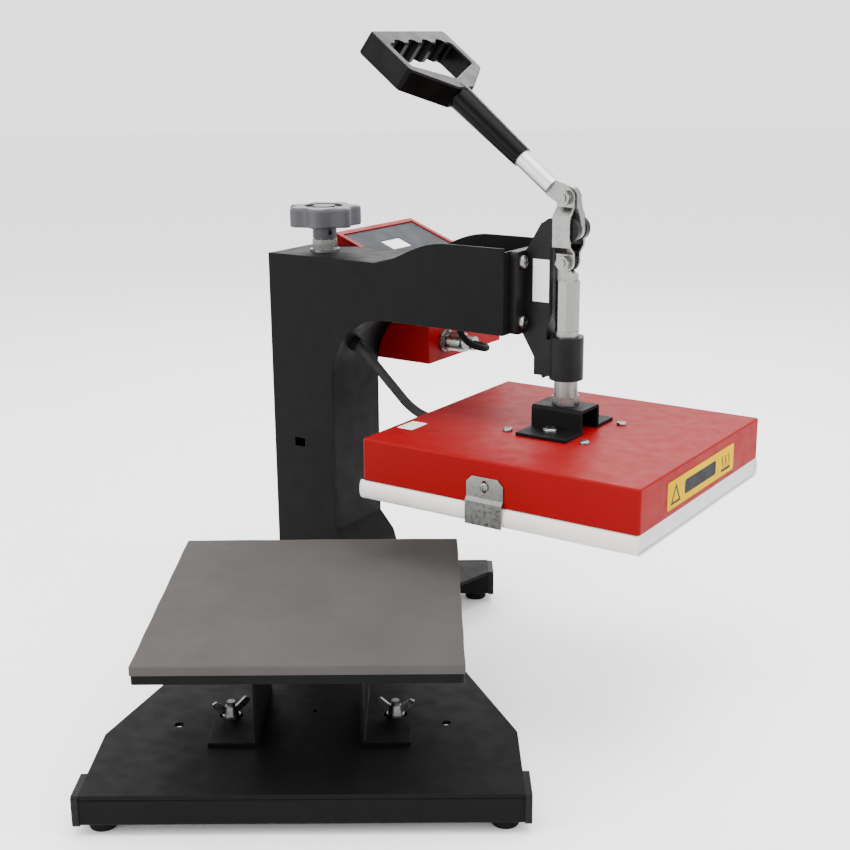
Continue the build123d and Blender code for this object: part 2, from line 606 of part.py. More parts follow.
def sheet_clips():
    """Joggled strips: screwed to the cover's sides above, standing off over the sheet's roll below."""
    shape = [(0, 268), (1.5, 268), (1.5, 247.6), (4.5, 244), (4.5, 221), (3, 221), (3, 243.4), (0, 247)]
    clip = section(shape, CLIP_S - 20, CLIP_S + 20)
    corners = clip.edges().filter_by(Axis.X).sort_by(Axis.Z)
    clip = chamfer(corners[-2:], 6)
    slot = xcyl(-CLIP_S, 255, 2.2, -1, 3) + xcyl(-CLIP_S, 263, 2.2, -1, 3)
    slot += abox(-1, 3, CLIP_S - 2.2, CLIP_S + 2.2, 255, 263)
    clip = Pos(PLATEN_W / 2, 0, 0) * (clip - slot)
    return Compound(children=[clip, mirror(clip, about=Plane.YZ)])


def cover_labels():
    """Long symbol label on the cover's front and a small blank one on its top."""
    front = abox(-83, 73, 450, 450.3, 247, 274)
    return Compound(children=[front, abox(-90, -62, 157, 175, HEAD_TOP, HEAD_TOP + 0.2)])


def cable_gland():
    body = ycyl(GLAND_U, GLAND_Z, 11, -150, -145) + ycyl(GLAND_U, GLAND_Z, 9, -145, -136)
    body += ycyl(GLAND_U, GLAND_Z, 7.9, -158, -150)
    return body - ycyl(GLAND_U, GLAND_Z, 5.1, -170, -130)


def bend_frame():
    """Plane where the heater lead leaves the arm's bend: local z runs out along the lead."""
    centre_s, centre_z = ARM_COL + BEND_R, ARM_LOW - BEND_R
    rise = LEAD_Z - centre_z
    back = (BEND_R ** 2 - rise ** 2) ** 0.5
    return Plane(origin=(LEAD_U, -(centre_s - back), LEAD_Z), z_dir=(0, -back, -rise))


def lead(name, points, radius):
    """Round lead of straight runs joined by tangent arcs, each as large as its two runs allow."""
    at = [Vector(*p) for p in points]
    runs = [b - a for a, b in zip(at, at[1:])]
    bends = [ARC_SHARE * min(a.length, b.length) / tan(radians(a.get_angle(b)) / 2)
             for a, b in zip(runs, runs[1:])]
    path = FilletPolyline(*points, radius=bends)
    body = sweep(Plane(origin=points[0], z_dir=runs[0]) * Circle(radius), path=path)
    ideal = pi * radius ** 2 * path.length
    print(name, "bend radii", [round(r, 1) for r in bends], "length", round(path.length, 1),
          "volume over section times length", round(body.volume / ideal, 4))
    return body


def heater_cable():
    """Flexible lead from the bend of the arm down to the platen cover, square to both."""
    bend = bend_frame()
    inside, outside = bend.from_local_coords((0, 0, -7)), bend.from_local_coords((0, 0, 16))
    route = [tuple(inside), tuple(outside), (12.9, -102.9, 273), (GLAND_U, -127, GLAND_Z),
             (GLAND_U, -150, GLAND_Z)]
    return lead("heater_cable", route, HEATER_LEAD_R)


# ---------------------------------------------------------------- control box
def panel_frame():
    rise, run = BOX_REAR_Z - BOX_FRONT_Z, BOX_S1 - BOX_S0
    mid = ((BOX_U0 + BOX_U1) / 2, -(BOX_S0 + BOX_S1) / 2, (BOX_REAR_Z + BOX_FRONT_Z) / 2)
    n = hypot(rise, run)
    return Plane(origin=mid, x_dir=(1, 0, 0), z_dir=(0, -rise / n, run / n))


def control_box_shell():
    t = 1.6
    whole = profile([(BOX_S0, BOX_Z), (BOX_S1, BOX_Z), (BOX_S1, BOX_FRONT_Z), (BOX_S0, BOX_REAR_Z)],
                    BOX_U0, BOX_U1)
    hollow = profile([(BOX_S0 + t, BOX_Z + t), (BOX_S1 - t, BOX_Z + t), (BOX_S1 - t, 480), (BOX_S0 + t, 480)],
                     BOX_U0 + t, BOX_U1 - t)
    top = panel_frame() * Pos(0, 0, 20 - 2) * Box(PANEL_W + 20, PANEL_L + 60, 40)
    body = whole - hollow - top
    body -= ycyl(SOCKET_U, SOCKET_Z, 8.1, -120, -95)
    body -= abox(92, 146, BOX_S0 - 5, BOX_S0 + 5, 336, 364)
    return body


def control_panel():
    whole = profile([(BOX_S0, BOX_Z), (BOX_S1, BOX_Z), (BOX_S1, BOX_FRONT_Z), (BOX_S0, BOX_REAR_Z)],
                    BOX_U0, BOX_U1)
    slab = panel_frame() * Pos(0, 0, -1) * Box(PANEL_W + 20, PANEL_L + 60, 2)
    body = whole & slab
    rim = Box(PANEL_W, PANEL_L - 3, 2) - Box(PANEL_W - 14, PANEL_L - 17, 5)
    body += panel_frame() * Pos(0, 0, 1) * rim
    x, y, w, h = LCD
    body -= panel_frame() * Pos(x, y, 0) * Box(w, h, 12)
    for bx, by in BUTTONS:
        body -= panel_frame() * Pos(bx, by, 0) * Cylinder(BUTTON_R + 0.4, 12)
    return body


def panel_overlay():
    body = Pos(0, 0, 0.3) * Box(PANEL_W - 14.4, PANEL_L - 17.4, 0.6)
    x, y, w, h = LCD
    body -= Pos(x, y, 0) * Box(w - 3, h - 3, 12)
    for bx, by in BUTTONS:
        body -= Pos(bx, by, 0) * Cylinder(BUTTON_R + 0.4, 12)
    return panel_frame() * body


def lcd_display():
    x, y, w, h = LCD
    body = Pos(x, y, -1.1) * Box(w - 0.4, h - 0.4, 1.8)
    body += Pos(x, y, -4) * Box(w + 10, h + 10, 4)
    return panel_frame() * body


def button(i):
    bx, by = BUTTONS[i]
    cap = Pos(bx, by, 0) * Cylinder(BUTTON_R, 5)
    cap = fillet(cap.edges().filter_by(GeomType.CIRCLE).sort_by(Axis.Z)[-1], 0.8)
    cap += Pos(bx, by, -3.2) * Cylinder(BUTTON_R + 1.5, 1.4)
    return panel_frame() * cap


def mains_inlet():
    """Rear module: the well of the mains inlet and the well of the power rocker in one moulding."""
    s = BOX_S0
    body = abox(88, 150, s - 2, s, 332, 368) + abox(92.2, 145.8, s, s + 20, 336.2, 363.8)
    body -= abox(95, 119, s - 3, s + 15, 341.5, 358.5)
    return body - abox(124, 142, s - 3, s + 12, 339, 361)


def inlet_pins():
    """Three flat pins standing in the inlet's well."""
    s = BOX_S0 + 15
    return Compound(children=[abox(u - 1, u + 1, s - 14, s, z - 2, z + 2)
                              for u, z in ((101, 348), (107, 352), (113, 348))])


def power_rocker():
    u, y, z = ROCKER
    pts = [(y - 6, z - 10.2), (y - 1, z - 10.2), (y + 1.5, z), (y - 1, z + 10.2), (y - 6, z + 10.2)]
    outline = Plane.YZ.offset(u - 8.7) * make_face(Polyline(*pts, close=True))
    return extrude(outline, amount=17.4, dir=(1, 0, 0))


def circuit_board():
    body = abox(56, 182, -8, 92, 326, 327.6)
    body += abox(60, 96, 0, 34, 327.6, 352) + abox(130, 146, 50, 74, 327.6, 340)
    for u in (60, 178):
        for s in (-4, 88):
            body += zcyl(u, -s, 3, BOX_Z + 1.6, 327)
    return body


def panel_socket():
    s = BOX_S1
    body = ycyl(SOCKET_U, SOCKET_Z, 8, -s - 16, -s + 14) + ycyl(SOCKET_U, SOCKET_Z, 12.5, -s - 3, -s)
    nut = Plane(origin=(SOCKET_U, -(s + 3), SOCKET_Z), z_dir=(0, -1, 0)) * hexagon(21)
    return body + extrude(nut, amount=4, dir=(0, -1, 0))


def cable_plug():
    s = BOX_S1
    body = ycyl(SOCKET_U, SOCKET_Z, 10.5, -s - 26, -s - 10) - ycyl(SOCKET_U, SOCKET_Z, 8.05, -s - 16, -s - 9)
    body = body + ycyl(SOCKET_U, SOCKET_Z, 8, -s - 40, -s - 26) + abox(64.5, 83.5, s + 29, s + 38, 335, 343)
    return body - ycyl(SOCKET_U, SOCKET_Z, 3.6, -s - 41, -s - 28)


def upper_cable():
    """Signal lead from the plug round under the arm and up through its floor."""
    s = BOX_S1
    route = [(SOCKET_U, -(s + 28.5), SOCKET_Z), (SOCKET_U, -157, SOCKET_Z), (60, -172, 340), (42, -178, 343),
             (25, -170, 350), (FLOOR_U, -FLOOR_S, 366), (FLOOR_U, -FLOOR_S, 388)]
    return lead("upper_cable", route, SIGNAL_LEAD_R)


def cable_grommets():
    """Rubber grommets where the leads pass the arm's floor and the bend of its web."""
    low = zcyl(FLOOR_U, -FLOOR_S, 7.9, 376, 387) - zcyl(FLOOR_U, -FLOOR_S, 3.6, 370, 400)
    bend = bend_frame() * (Cylinder(7.9, 12) - Cylinder(HEATER_LEAD_R + 0.1, 14))
    return Compound(children=[low, bend])


# ---------------------------------------------------------------- pressure knob
def pressure_screw():
    body = zcyl(0, 0, 8, POST_TOP - 28, 480)
    body += zcyl(0, 0, 12, ARM_TOP - SHEET - 8, ARM_TOP - SHEET - 0.3)
    return body


def pressure_knob():
    """Seven-lobed hand knob with a hub; a small socket on the hub takes its set screw."""
    base, top, mid, swell = 468.0, 489.0, 36.4, 3.7
    pts = [((mid + swell * cos(7 * a)) * cos(a), (mid + swell * cos(7 * a)) * sin(a))
           for a in [2 * pi * i / 56 for i in range(56)]]
    face = Pos(0, 0, base) * make_face(Spline(*pts, periodic=True))
    body = extrude(face, amount=top - base, dir=(0, 0, 1))
    body = fillet(body.faces().sort_by(Axis.Z)[-1].edges(), 4)
    body = fillet(body.faces().sort_by(Axis.Z)[0].edges(), 2)
    body -= zcyl(0, 0, 21, top - 2.5, top + 1) - zcyl(0, 0, 12, top - 4, top + 2)
    body += zcyl(0, 0, 13, ARM_TOP + 14, base + 1)
    body -= zcyl(0, 0, 8, 400, 480)
    body -= Rot(0, 0, -115) * xcyl(0, 461, 2.6, 9, 20)
    return body


# ---------------------------------------------------------------- write every node
def main():
    front = [p for p in feet_at() if p[1] < 0]
    rear = [p for p in feet_at() if p[1] > 0]
    out(base_plate(), "base_plate")
    out(cross_tube(FRONT_HALF, FRONT_Y, front), "front_cross_tube")
    out(cross_tube(REAR_HALF, REAR_Y - TUBE_D, rear), "rear_cross_tube")
    out(tube_end_caps(), "tube_end_caps")
    out(rubber_feet(), "rubber_feet")
    out(base_fasteners(), "base_fasteners")
    out(swing_post(), "swing_post")
    out(platen_studs(), "platen_studs")
    out(wing_nut(-STUD_X, 25), "left_wing_nut")
    out(wing_nut(STUD_X, -8), "right_wing_nut")

    out(platen_brackets(), "platen_brackets")
    out(platen_screws(), "platen_screws")
    out(lower_plate(), "lower_plate")
    out(silicone_pad(), "silicone_pad")

    out(lift_sleeve(), "lift_sleeve")

    out(arm_side(-ARM_U, -40, True), "arm_left_plate", True)
    out(arm_side(40, ARM_U), "arm_right_plate", True)
    out(arm_spine(), "arm_spine", True)
    out(arm_web(), "arm_web", True)
    out(arm_bearings(), "arm_bearings", True)
    out(screw_nut(), "screw_nut", True)
    out(toggle_bracket(), "toggle_bracket", True)
    out(bracket_fasteners(), "bracket_fasteners", True)
    out(bracket_sticker(), "bracket_sticker", True)

    out(control_box_shell(), "control_box_shell", True)
    out(control_panel(), "control_panel", True)
    out(panel_overlay(), "panel_overlay", True)
    out(lcd_display(), "lcd_display", True)
    for i, name in enumerate(("down_button", "set_button", "up_button")):
        out(button(i), name, True)
    out(power_rocker(), "power_rocker", True)
    out(mains_inlet(), "mains_inlet", True)
    out(inlet_pins(), "inlet_pins", True)
    out(circuit_board(), "circuit_board", True)
    out(panel_socket(), "panel_socket", True)
    out(cable_plug(), "cable_plug", True)
    out(upper_cable(), "upper_cable", True)
    out(cable_grommets(), "cable_grommets", True)

    out(pressure_screw(), "pressure_screw", True)
    out(pressure_knob(), "pressure_knob", True)

    out(lever_tang(), "lever_tang", True)
    out(handle_tube(), "handle_tube", True)
    out(handle_grip(), "handle_grip", True)
    out(link_plates(), "link_plates", True)
    out(link_bolts(), "link_bolts", True)

    out(plunger(), "plunger", True)
    out(hat_bracket(), "hat_bracket", True)
    out(hat_fasteners(), "hat_fasteners", True)
    out(platen_cover(), "platen_cover", True)
    out(cover_screws(), "cover_screws", True)
    out(standoffs(), "standoffs", True)
    out(heating_plate(), "heating_plate", True)
    out(heating_element(), "heating_element", True)
    out(insulation(), "insulation", True)
    out(ptfe_sheet(), "ptfe_sheet", True)
    out(sheet_clips(), "sheet_clips", True)
    out(cover_labels(), "cover_labels", True)
    out(cable_gland(), "cable_gland", True)
    out(heater_cable(), "heater_cable", True)


main()
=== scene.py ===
import json
import math

import bmesh
import bpy
from mathutils import Matrix, Vector


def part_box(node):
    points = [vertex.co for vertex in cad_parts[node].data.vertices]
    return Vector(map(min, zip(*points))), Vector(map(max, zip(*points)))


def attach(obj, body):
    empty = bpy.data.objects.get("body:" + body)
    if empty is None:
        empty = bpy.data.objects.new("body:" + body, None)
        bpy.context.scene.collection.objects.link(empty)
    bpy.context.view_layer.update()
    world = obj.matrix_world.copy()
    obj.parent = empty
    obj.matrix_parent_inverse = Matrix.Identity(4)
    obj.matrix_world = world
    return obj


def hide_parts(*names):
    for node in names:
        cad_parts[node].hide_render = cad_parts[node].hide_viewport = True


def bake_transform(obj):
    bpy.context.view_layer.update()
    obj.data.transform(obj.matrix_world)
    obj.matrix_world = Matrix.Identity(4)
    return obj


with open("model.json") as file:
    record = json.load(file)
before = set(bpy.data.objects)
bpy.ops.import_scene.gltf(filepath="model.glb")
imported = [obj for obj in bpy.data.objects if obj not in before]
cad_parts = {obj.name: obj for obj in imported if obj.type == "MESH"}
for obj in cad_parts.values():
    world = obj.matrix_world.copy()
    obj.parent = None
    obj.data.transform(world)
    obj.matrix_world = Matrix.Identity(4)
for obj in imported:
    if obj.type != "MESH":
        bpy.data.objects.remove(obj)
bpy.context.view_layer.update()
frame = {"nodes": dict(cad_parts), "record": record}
NODES = frame["nodes"]

# ---------------------------------------------------------------- places in the frame
MM = 0.001
MIDDLE = (126.095, -139.932)        # the frame's origin, from the swing axis, in millimetres
SWING = math.radians(56)            # the arm stands swung out by this much
REACH = 300                         # millimetres from the swing axis to the platen's centre
SPAN, DEPTH = 280, 300              # platen, across and along the arm


def arm(u, s, z):
    """Point on the swung arm: u across, s forward of the swing axis, z up, in millimetres."""
    c, n = math.cos(SWING), math.sin(SWING)
    return Vector((u * c + s * n - MIDDLE[0], u * n - s * c - MIDDLE[1], z)) * MM


# ---------------------------------------------------------------- shader helpers
class Surface:
    """A Principled material with noise in its colour and roughness and a bump of its own."""

    def __init__(self, name, colour, roughness, metallic=0.0, shade=0.1, coat=0.0, shine=0.5):
        self.mat = bpy.data.materials.new(name)
        self.mat.use_nodes = True
        self.tree = self.mat.node_tree
        self.shader = self.tree.nodes["Principled BSDF"]
        self.shader.inputs["Metallic"].default_value = metallic
        self.shader.inputs["Specular IOR Level"].default_value = shine
        self.shader.inputs["Coat Weight"].default_value = coat
        self.shader.inputs["Coat Roughness"].default_value = 0.2
        self.mat.diffuse_color = (*colour, 1)
        self.place = self.node("ShaderNodeTexCoord").outputs["Object"]
        self.tint(colour, shade)
        self.gloss(roughness)

    def node(self, kind, **values):
        made = self.tree.nodes.new(kind)
        for key, value in values.items():
            setattr(made, key, value)
        return made

    def link(self, a, b):
        self.tree.links.new(a, b)

    def noise(self, scale, detail=3.0, stretch=(1, 1, 1)):
        """Noise in metres, drawn out along an axis where stretch is below 1."""
        mapping = self.node("ShaderNodeMapping")
        mapping.inputs["Scale"].default_value = stretch
        self.link(self.place, mapping.inputs["Vector"])
        made = self.node("ShaderNodeTexNoise")
        made.inputs["Scale"].default_value = scale
        made.inputs["Detail"].default_value = detail
        self.link(mapping.outputs["Vector"], made.inputs["Vector"])
        return made.outputs["Fac"]

    def spread(self, source, low, high):
        made = self.node("ShaderNodeMapRange")
        made.inputs["From Min"].default_value = 0.3
        made.inputs["From Max"].default_value = 0.7
        made.inputs["To Min"].default_value = low
        made.inputs["To Max"].default_value = high
        self.link(source, made.inputs["Value"])
        return made.outputs["Result"]

    def tint(self, colour, shade, scale=14.0):
        ramp = self.node("ShaderNodeValToRGB")
        ramp.color_ramp.elements[0].position = 0.3
        ramp.color_ramp.elements[1].position = 0.7
        ramp.color_ramp.elements[0].color = (*[c * (1 - shade) for c in colour], 1)
        ramp.color_ramp.elements[1].color = (*[min(1, c * (1 + shade)) for c in colour], 1)
        self.link(self.noise(scale, 4), ramp.inputs["Fac"])
        self.link(ramp.outputs["Color"], self.shader.inputs["Base Color"])
        self.ramp = ramp

    def gloss(self, roughness, change=0.06, scale=60.0):
        low, high = max(0.02, roughness - change), min(1, roughness + change)
        self.link(self.spread(self.noise(scale), low, high), self.shader.inputs["Roughness"])

    def bump(self, height, depth, strength=0.4):
        """Adds relief from a height output; depth is the relief in millimetres."""
        made = self.node("ShaderNodeBump")
        made.inputs["Strength"].default_value = strength
        made.inputs["Distance"].default_value = depth * MM
        self.link(height, made.inputs["Height"])
        normal = self.shader.inputs["Normal"]
        if normal.is_linked:
            self.link(normal.links[0].from_socket, made.inputs["Normal"])
        self.link(made.outputs["Normal"], normal)
        return self

    def cells(self, scale, kind="F1"):
        made = self.node("ShaderNodeTexVoronoi", feature=kind)
        made.inputs["Scale"].default_value = scale
        self.link(self.place, made.inputs["Vector"])
        return made.outputs["Distance"]

    def waves(self, scale, axis="Z", distortion=0.6):
        made = self.node("ShaderNodeTexWave", bands_direction=axis)
        made.inputs["Scale"].default_value = scale
        made.inputs["Distortion"].default_value = distortion
        self.link(self.place, made.inputs["Vector"])
        return made.outputs["Fac"]

    def worn_edges(self, colour, width=0.9):
        """Lets another colour show where an edge is rubbed, broken up by noise."""
        bevel = self.node("ShaderNodeBevel")
        bevel.inputs["Radius"].default_value = width * MM
        flat = self.node("ShaderNodeNewGeometry").outputs["Normal"]
        turn = self.node("ShaderNodeVectorMath", operation="DOT_PRODUCT")
        self.link(bevel.outputs["Normal"], turn.inputs[0])
        self.link(flat, turn.inputs[1])
        edge = self.node("ShaderNodeMapRange")
        edge.inputs["From Min"].default_value = 0.97
        edge.inputs["From Max"].default_value = 0.80
        self.link(turn.outputs["Value"], edge.inputs["Value"])
        broken = self.node("ShaderNodeMath", operation="MULTIPLY")
        self.link(edge.outputs["Result"], broken.inputs[0])
        self.link(self.spread(self.noise(90, 5), 0.0, 0.55), broken.inputs[1])
        mix = self.node("ShaderNodeMix", data_type="RGBA")
        self.link(broken.outputs["Value"], mix.inputs["Factor"])
        self.link(self.ramp.outputs["Color"], mix.inputs["A"])
        mix.inputs["B"].default_value = (*colour, 1)
        self.link(mix.outputs["Result"], self.shader.inputs["Base Color"])
        return self


def paint(name, colour, roughness, edge, coat=0.0, shine=0.3):
    """Sprayed paint: fine orange peel, faint clouding and lighter rubbed edges."""
    made = Surface(name, colour, roughness, shade=0.04, coat=coat, shine=shine)
    made.bump(made.noise(900, 2), 0.05, 0.25)
    return made.worn_edges(edge).mat


def plated(name, colour, roughness=0.28, spangle=420):
    """Zinc plate: small crystal cells, fine drawn scratches, uneven shine."""
    made = Surface(name, colour, roughness, metallic=1.0, shade=0.12)
    made.gloss(roughness, 0.1, 240)
    made.bump(made.cells(spangle), 0.04, 0.12)
    made.bump(made.noise(700, 2, (1, 1, 0.08)), 0.03, 0.15)
    return made.mat


def moulded(name, colour, roughness, grain=1400, depth=0.04, shine=0.5):
    made = Surface(name, colour, roughness, shade=0.1, shine=shine)
    made.bump(made.noise(grain, 2), depth, 0.35)
    return made.mat


def cast(name, colour, roughness):
    """Hammered casting paint over a rough cast skin."""
    made = Surface(name, colour, roughness, shade=0.15, shine=0.14)
    made.bump(made.cells(520, "SMOOTH_F1"), 0.2, 0.6)
    made.bump(made.noise(1200, 3), 0.05, 0.35)
    return made.mat


def woven(name, colour, roughness, pitch):
    """Braided sleeve: two crossing sets of strands."""
    made = Surface(name, colour, roughness, shade=0.25)
    made.bump(made.waves(pitch, "DIAGONAL", 1.5), 0.3, 0.8)
    made.bump(made.waves(pitch, "X", 1.5), 0.3, 0.6)
    return made.mat


def sponge(name, colour):
    """Fine-celled silicone sponge, matte, with a scatter of open pores."""
    made = Surface(name, colour, 0.9, shade=0.07, shine=0.15)
    made.bump(made.noise(2600, 3), 0.12, 0.6)
    made.bump(made.cells(900), 0.06, 0.35)
    return made.mat


def cloth(name, colour, roughness, pitch):
    made = Surface(name, colour, roughness, shade=0.05)
    made.bump(made.waves(pitch, "X", 0.3), 0.06, 0.3)
    made.bump(made.waves(pitch, "Z", 0.3), 0.06, 0.3)
    return made.mat


def brushed(name, colour, roughness, stretch=(1, 1, 0.03)):
    made = Surface(name, colour, roughness, metallic=1.0, shade=0.06)
    made.bump(made.noise(900, 4, stretch), 0.05, 0.3)
    return made.mat


RED = (0.17, 0.0010, 0.0024)
BLACK = (0.0026, 0.0026, 0.0029)
LOOKS = {
    "black_paint": paint("black_paint", BLACK, 0.55, (0.018, 0.018, 0.019), shine=0.07),
    "red_paint": paint("red_paint", RED, 0.45, (0.26, 0.008, 0.010), coat=0.0, shine=0.05),
    "black_texture": cast("black_texture", (0.003, 0.003, 0.003), 0.45),
    "black_plastic": moulded("black_plastic", (0.0035, 0.0035, 0.0035), 0.5, shine=0.12),
    "black_rubber": moulded("black_rubber", (0.003, 0.003, 0.003), 0.8, 1800, 0.08, 0.12),
    "black_gloss": moulded("black_gloss", (0.0012, 0.001, 0.001), 0.3, 160, 0.05, 0.06),
    "zinc": plated("zinc", (0.21, 0.21, 0.203), 0.32),
    "bright_steel": brushed("bright_steel", (0.36, 0.36, 0.36), 0.3),
    "silver_paint": brushed("silver_paint", (0.50, 0.50, 0.50), 0.46),
    "cast_aluminium": brushed("cast_aluminium", (0.45, 0.45, 0.46), 0.4, (1, 0.05, 1)),
    "grey_silicone": sponge("grey_silicone", (0.049, 0.045, 0.043)),
    "white_label": moulded("white_label", (0.60, 0.58, 0.58), 0.5, 300, 0.03),
    "slate_overlay": moulded("slate_overlay", (0.014, 0.016, 0.021), 0.5, shine=0.05),
    "lcd": moulded("lcd", (0.40, 0.42, 0.39), 0.16, 200, 0.01),
    "green_board": moulded("green_board", (0.02, 0.16, 0.05), 0.45),
    "black_cable": woven("black_cable", (0.006, 0.0055, 0.005), 0.75, 260),
    "knob_grey": moulded("knob_grey", (0.034, 0.034, 0.040), 0.42, 900, 0.05, 0.3),
    "wool": cloth("wool", (0.72, 0.68, 0.58), 0.95, 240),
    "ptfe": cloth("ptfe", (0.62, 0.59, 0.55), 0.48, 520),
    "yellow_label": moulded("yellow_label", (0.44, 0.27, 0.0), 0.5, 400, 0.02, 0.0),
    "grey_button": moulded("grey_button", (0.28, 0.30, 0.33), 0.5),
}
INK = moulded("ink", (0.004, 0.004, 0.004), 0.55, 600, 0.01, 0.1)


# ---------------------------------------------------------------- carried-over CAD nodes
ROUNDED = {                         # folded and sawn edges that need a small real radius, mm
    "arm_left_plate": 0.7, "arm_right_plate": 0.7,
    "arm_spine": 0.5, "arm_web": 0.5, "lower_plate": 0.7, "platen_brackets": 0.5,
    "hat_bracket": 0.6, "control_box_shell": 0.5, "control_panel": 0.4, "toggle_bracket": 0.8,
    "tube_end_caps": 0.5, "link_plates": 0.4, "lever_tang": 0.5, "sheet_clips": 0.3,
}
SMOOTH_ANGLE = math.radians(32)


def tidy_shading(piece, radius=0.0):
    """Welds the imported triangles, rounds long edges, splits real corners and keeps flats flat."""
    for polygon in piece.data.polygons:
        polygon.use_smooth = True
    piece.modifiers.new("weld", "WELD").merge_threshold = 1e-5
    if radius:
        bevel = piece.modifiers.new("edges", "BEVEL")
        bevel.width = radius * MM
        bevel.segments = 2
        bevel.limit_method = "ANGLE"
        bevel.angle_limit = math.radians(50)
        bevel.use_clamp_overlap = True
    split = piece.modifiers.new("corners", "EDGE_SPLIT")
    split.split_angle = SMOOTH_ANGLE
    flat = piece.modifiers.new("flats", "WEIGHTED_NORMAL")
    flat.mode = "FACE_AREA"
    flat.weight = 90


def dress_cad_nodes():
    slots = {row["node"]: row["material_slot"] for row in frame["record"]["subparts"]}
    for name, piece in NODES.items():
        tidy_shading(piece, ROUNDED.get(name, 0.0))
        piece.data.materials.clear()
        piece.data.materials.append(LOOKS[slots[name]])


# ---------------------------------------------------------------- mesh helpers
def mesh_piece(name, verts, faces, look, smooth=True):
    mesh = bpy.data.meshes.new(name)
    mesh.from_pydata([tuple(v) for v in verts], [], faces)
    mesh.materials.append(look)
    for polygon in mesh.polygons:
        polygon.use_smooth = smooth
    piece = bpy.data.objects.new(name, mesh)
    bpy.context.scene.collection.objects.link(piece)
    return piece


def refine(piece, kind, **values):
    """Adds a modifier and applies it, so that the final mesh is the piece."""
    modifier = piece.modifiers.new(kind.lower(), kind)
    for key, value in values.items():
        setattr(modifier, key, value)
    mesh = bpy.data.meshes.new_from_object(piece.evaluated_get(bpy.context.evaluated_depsgraph_get()))
    piece.modifiers.clear()
    piece.data = mesh
    for polygon in mesh.polygons:
        polygon.use_smooth = True
    return piece


def tube(name, points, radius, look, sides=20):
    """Round tube along points, closed at both ends."""
    verts, faces = [], []
    side = Vector((0, 0, 1))
    for i, p in enumerate(points):
        ahead = (points[min(i + 1, len(points) - 1)] - points[max(i - 1, 0)]).normalized()
        side = (side - ahead * side.dot(ahead)).normalized()
        other = ahead.cross(side)
        for k in range(sides):
            a = 2 * math.pi * k / sides
            verts.append(p + (side * math.cos(a) + other * math.sin(a)) * radius)
    for i in range(len(points) - 1):
        for k in range(sides):
            a, b = i * sides + k, i * sides + (k + 1) % sides
            faces.append((a, b, b + sides, a + sides))
    faces.append(tuple(reversed(range(sides))))
    last = (len(points) - 1) * sides
    faces.append(tuple(range(last, last + sides)))
    return mesh_piece(name, verts, faces, look)


def nurbs(name, route):
    """Smooth line with the route's points as its control points."""
    data = bpy.data.curves.new(name, "CURVE")
    data.dimensions = "3D"
    spline = data.splines.new("NURBS")
    spline.points.add(len(route) - 1)
    for point, place in zip(spline.points, route):
        point.co = (*place, 1)
    spline.order_u = 3
    spline.use_endpoint_u = True
    data.resolution_u = 16
    return data


def line_of(data):
    """The points along a curve, read from Blender's own evaluation of it."""
    holder = bpy.data.objects.new("line", data)
    mesh = bpy.data.meshes.new_from_object(holder)
    points = [v.co.copy() for v in mesh.vertices]
    bpy.data.meshes.remove(mesh)
    bpy.data.objects.remove(holder)
    return points


def length_of(points):
    return sum((b - a).length for a, b in zip(points, points[1:]))


# ---------------------------------------------------------------- leads
HEATER_ROUTE = [(-14, 41.3, 348.5), (-14, 61.2, 337), (-6.4, 73, 318.8), (3.9, 89, 294.3),
                (12.9, 102.9, 273), (18, 127, 262), (18, 150, 262)]
SIGNAL_ROUTE = [(74, 135.5, 339), (74, 157, 339), (60, 172, 340), (42, 178, 343), (25, 170, 350),
                (18, 160, 366), (18, 160, 388)]
HEATER_LEAD_R, SIGNAL_LEAD_R = 5 * MM, 3.5 * MM


def heater_lead():
    """Woven lead between the arm and the moving head, made as one fixed curved tube."""
    data = nurbs("heater_line", [arm(*p) for p in HEATER_ROUTE])
    points = line_of(data)
    piece = tube("heater_lead", points, HEATER_LEAD_R, LOOKS["black_cable"])
    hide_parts("heater_cable")
    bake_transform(piece)


def signal_lead():
    data = nurbs("signal_line", [arm(*p) for p in SIGNAL_ROUTE])
    length = length_of(line_of(data))
    data.bevel_depth = SIGNAL_LEAD_R
    data.bevel_resolution = 5
    data.materials.append(LOOKS["black_rubber"])
    piece = bpy.data.objects.new("signal_lead", data)
    bpy.context.scene.collection.objects.link(piece)
    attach(piece, "arm")
    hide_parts("upper_cable")


# ---------------------------------------------------------------- soft pieces
def work_pad():
    """Silicone sponge pad: eased edges, a slightly uneven face and soft sides."""
    low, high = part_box("silicone_pad")
    mid, half = (low + high) / 2, (high - low) / 2
    made = bmesh.new()
    bmesh.ops.create_cube(made, size=2)
    bmesh.ops.scale(made, verts=made.verts, vec=half)
    bmesh.ops.bevel(made, geom=made.edges[:], offset=1.2 * MM, segments=3, affect="EDGES", profile=0.5)
    long_edges = [e for e in made.edges if e.calc_length() > 0.05]
    bmesh.ops.subdivide_edges(made, edges=long_edges, cuts=60, use_grid_fill=True)
    for v in made.verts:
        waver = math.sin(v.co.x * 71 + 1.3) * math.sin(v.co.y * 53 + 0.4)
        v.co.z += (0.16 * waver - 0.16) * MM if v.co.z > 0 else 0
        v.co.x *= 1 - 0.0012 * (1 + math.sin(v.co.y * 95))
    mesh = bpy.data.meshes.new("work_pad")
    made.to_mesh(mesh)
    made.free()
    mesh.transform(Matrix.Translation(mid))
    mesh.materials.append(LOOKS["grey_silicone"])
    for polygon in mesh.polygons:
        polygon.use_smooth = True
    piece = bpy.data.objects.new("work_pad", mesh)
    bpy.context.scene.collection.objects.link(piece)
    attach(piece, "lower_platen")
    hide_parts("silicone_pad")


